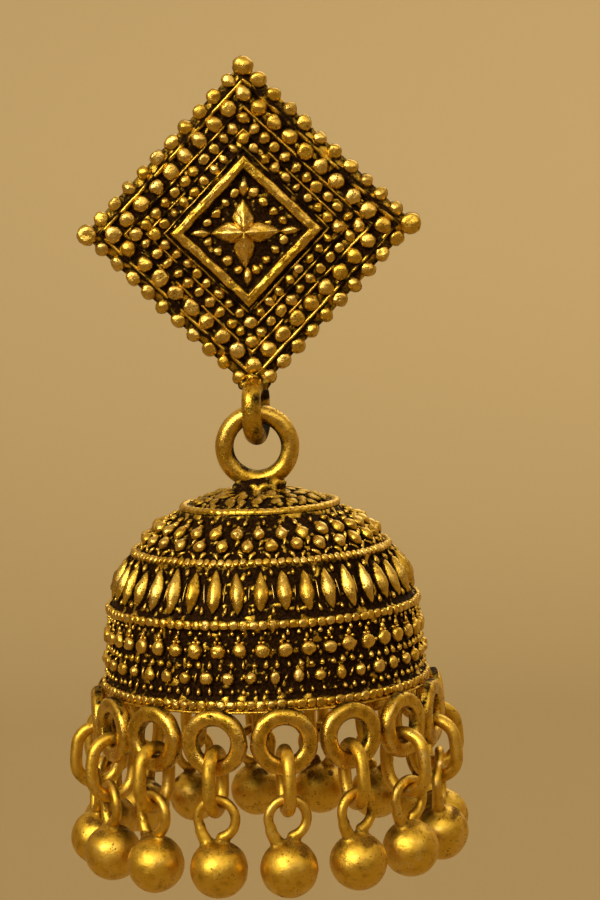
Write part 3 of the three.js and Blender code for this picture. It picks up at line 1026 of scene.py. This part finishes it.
def plane_of(points):
    """Centre of some points and their directions, the longest spread first."""
    centre = points.mean(0)
    _, _, directions = np.linalg.svd(points - centre, full_matrices=False)
    return centre, directions


def jump_rings():
    """Every jump ring: a plain oval of round wire, a little darker on one side."""
    piece = Piece()
    steps, sides = 60, 16
    names = [f"jump_ring_{i + 1:02d}" for i in range(DROPS)]
    for name in names:
        centre, (long_way, wide_way, normal) = plane_of(node_points(name))
        path = oval(JUMP_RADIUS, JUMP_STRETCH, steps)
        path = path[:, [0]] * wide_way + path[:, [2]] * long_way + centre
        points, faces = sweep(path, normal, JUMP_WIRE, sides)
        points = points + noise(points, 0.7)[:, None] * 0.015
        side = np.tile(np.cos(full_turn(sides)), steps)
        relief = 0.78 - 0.4 * smoothstep(0.3, 1.0, side) + 0.2 * noise(points, 0.5)
        flip = np.dot(np.cross(wide_way, normal), long_way) < 0
        piece.add(points, faces[:, ::-1] if flip else faces, clamp(relief), random.random())
    return piece, names


# The ball's loop starts as a straight prong, given as x and z from the loop's middle, and then turns
# round from one angle to the other. Lumps of x, z and radius fill the neck.
PRONG = [(-0.62, -1.95), (-0.68, -1.75), (-0.77, -1.5), (-0.88, -1.27), (-1.0, -1.03), (-1.11, -0.78)]
HOOK_TURN = (-152, -437)
NECK_LUMPS = ((-0.62, -1.72, 0.46), (-0.25, -1.62, 0.3), (0.25, -1.62, 0.34), (0.6, -1.72, 0.3))
BALL_VOXEL = 0.12


def hook_path():
    """The ball's loop: up from the left of the neck, over, and round below to a blunt end by the ball."""
    turn = np.radians(np.linspace(*HOOK_TURN, 58))
    path = np.array(PRONG + [(BALL_LOOP * math.cos(t), BALL_LOOP * math.sin(t)) for t in turn])
    return np.stack([path[:, 0], np.zeros(len(path)), path[:, 1]], 1)


def ball_template():
    """One ball with its neck and hook, from overlapping balls joined by a voxel remesh."""
    path = hook_path()
    share = np.linspace(0, 1, len(path))
    wire = BALL_WIRE * (1 + 0.4 * (1 - smoothstep(0.0, 0.14, share)) + 0.12 * smoothstep(0.85, 0.97, share))
    parts = [(*spot, radius, 3) for spot, radius in zip(path, wire)]
    parts += [(x, 0, z, radius, 3) for x, z, radius in NECK_LUMPS]
    parts.append((0, 0, -LOOP_TO_BALL, BALL, 5))
    bm = bmesh.new()
    for x, y, z, radius, level in parts:
        made = bmesh.ops.create_icosphere(bm, subdivisions=level, radius=radius)
        bmesh.ops.translate(bm, verts=made["verts"], vec=(x, y, z))
    mesh = bpy.data.meshes.new("ball_template")
    bm.to_mesh(mesh)
    bm.free()
    obj = add_object("ball_template", mesh)
    remesh = obj.modifiers.new("join", "REMESH")
    remesh.mode = "VOXEL"
    remesh.voxel_size = BALL_VOXEL
    smooth = obj.modifiers.new("smooth", "SMOOTH")
    smooth.factor = 0.5
    smooth.iterations = 3
    done = obj.evaluated_get(bpy.context.evaluated_depsgraph_get()).to_mesh()
    points = np.array([v.co for v in done.vertices])
    quads = np.array([list(p.vertices) for p in done.polygons])
    bpy.data.objects.remove(obj)
    bpy.data.meshes.remove(mesh)
    return points, quads


def ball_place(name, outward):
    """The middle of a ball drop's loop, and its axes: along the loop, back and up."""
    cloud = node_points(name)
    top = cloud[:, 2].max()
    centre, directions = plane_of(cloud[cloud[:, 2] > top - 2 * BALL_LOOP])
    across = [d for d in directions if abs(d[2]) < 0.7][-1]
    out = np.array([across[0], across[1], 0]) / np.linalg.norm(across[:2])
    if np.dot(out, outward) < 0:
        out = -out
    axes = np.stack([[-out[1], out[0], 0], -out, [0, 0, 1.0]], 1)
    return np.array([*centre[:2], top - BALL_LOOP - LOOP_TOP]), axes


def ball_surface(template, index):
    """One ball drop's points with its own lumps, and its relief."""
    ball = template - np.array([0, 0, -LOOP_TO_BALL])
    distance = np.linalg.norm(ball, axis=1)
    on_ball = 1 - smoothstep(BALL, BALL * 1.12, distance)
    shift = template + 20 * index
    lumps = noise(shift, 1.5) * 0.035 + noise(shift, 0.55) * 0.018
    points = template + (ball / distance[:, None]) * (lumps * on_ball)[:, None]
    neck = np.exp(-(((distance - BALL * 1.06) / 0.28) ** 2)) * smoothstep(-2.6, -1.9, points[:, 2])
    wire = smoothstep(BALL * 1.1, BALL * 1.3, distance)
    from_middle = np.linalg.norm(points[:, [0, 2]], axis=1)
    inner = wire * (1 - smoothstep(BALL_LOOP - BALL_WIRE, BALL_LOOP, from_middle))
    stain = clamp(noise(shift + 9, 0.7) - 0.1) * 0.6
    relief = 0.84 - 0.55 * neck - 0.35 * inner - stain + 0.12 * noise(shift, 0.4)
    return points, clamp(relief)


def ball_drops():
    """The ball drops, each a little different in its surface."""
    piece = Piece()
    template, faces = ball_template()
    names = [f"ball_drop_{i + 1:02d}" for i in range(DROPS)]
    for index, name in enumerate(names):
        angle = FIRST_DROP + index * 2 * math.pi / DROPS
        origin, axes = ball_place(name, [math.sin(angle), -math.cos(angle), 0])
        points, relief = ball_surface(template, index)
        piece.add(points @ axes.T + origin, faces, relief, random.random())
    return piece, names


# ---- camera, floor and light

CAMERA_AT = Vector((2.88, -175.0, 1.1)) * MM
CAMERA_DOWN = math.radians(5.3)
CAMERA_ROLL = math.radians(2.14)
LENS = 103.1
FLOOR_Z = -0.25  # the floor and its wall are in metres
WALL_RADIUS = 1.7
WALL_BEND = 0.6
WALL_TOP = 0.62
FLOOR_COLOUR = (0.38, 0.29, 0.15, 1)
SUN_COLOUR = (1.0, 0.93, 0.8)
SUNS = [  # name, where it comes from, strength and how soft it is in degrees
    ("key", (-0.26, -0.38, 0.24), 2.6, 30),
    ("fill", (0.2, -0.6, 0.25), 1.0, 70),
    ("back", (0.25, 0.5, 0.45), 0.7, 45),
]
WORLD_COLOUR = (0.64, 0.48, 0.26, 1)
WORLD_STRENGTH = 0.92


def make_camera():
    data = bpy.data.cameras.new("camera")
    data.lens = LENS
    data.sensor_width = 36
    data.clip_start = 0.005
    data.clip_end = 20
    camera = add_object("camera", data)
    tilt = Matrix.Rotation(math.pi / 2 - CAMERA_DOWN, 4, "X")
    camera.matrix_world = Matrix.Translation(CAMERA_AT) @ tilt @ Matrix.Rotation(-CAMERA_ROLL, 4, "Z")
    bpy.context.scene.camera = camera


def make_floor():
    """A plain round floor that curves up into a low wall all round."""
    steps = 72
    profile = [(0.02, FLOOR_Z), (0.6, FLOOR_Z)]
    for i in range(17):
        t = i / 16 * math.pi / 2
        reach = WALL_RADIUS - WALL_BEND + WALL_BEND * math.sin(t)
        profile.append((reach, FLOOR_Z + WALL_BEND - WALL_BEND * math.cos(t)))
    profile.append((WALL_RADIUS, WALL_TOP))
    mesh = bpy.data.meshes.new("floor")
    turn = [i / steps * 2 * math.pi for i in range(steps)]
    points = [(r * math.cos(t), r * math.sin(t), z) for r, z in profile for t in turn]
    faces = grid_faces(len(profile), steps).tolist() + [list(range(steps))]
    mesh.from_pydata(points, [], faces)
    mesh.update()
    mesh.polygons.foreach_set("use_smooth", [True] * len(faces))
    material = bpy.data.materials.new("floor")
    material.use_nodes = True
    shader = material.node_tree.nodes["Principled BSDF"]
    set_inputs(shader, {"Base Color": FLOOR_COLOUR, "Roughness": 0.9, "Specular IOR Level": 0.1})
    mesh.materials.append(material)
    floor = add_object("floor", mesh)


def make_sun(name, from_place, strength, soft):
    """A soft light from far away, so that the floor is as bright on every side."""
    data = bpy.data.lights.new(name, "SUN")
    data.energy = strength
    data.angle = math.radians(soft)
    data.color = SUN_COLOUR
    light = add_object(name, data)
    light.rotation_euler = (-Vector(from_place)).to_track_quat("-Z", "Y").to_euler()


def make_lights():
    for settings in SUNS:
        make_sun(*settings)
    world = bpy.data.worlds.new("world")
    world.use_nodes = True
    set_inputs(world.node_tree.nodes["Background"], {"Color": WORLD_COLOUR, "Strength": WORLD_STRENGTH})
    bpy.context.scene.world = world
    bpy.context.scene.view_settings.view_transform = "Standard"


# ---- making it

make_camera()
make_floor()
make_lights()

dark, satin, post = darkened_gold(), satin_gold(), post_metal()
stud_piece().make("stud_plate_cast", dark, "stud", "darkened_gold", "stud_plate")
post_piece().make("ear_post_turned", post, "stud", "post_metal", "ear_post")
bell_shell().make("bell_shell", dark, "bell_drop", "darkened_gold", "bell")
relief_upper().make("bell_relief_upper", dark, "bell_drop", "darkened_gold")
relief_petals().make("bell_relief_petals", dark, "bell_drop", "darkened_gold")
relief_lower().make("bell_relief_lower", dark, "bell_drop", "darkened_gold")
rings, ring_names = jump_rings()
rings.make("jump_rings", satin, "bell_drop", "satin_gold", *ring_names)
balls, ball_names = ball_drops()
balls.make("ball_drops", satin, "bell_drop", "satin_gold", *ball_names)
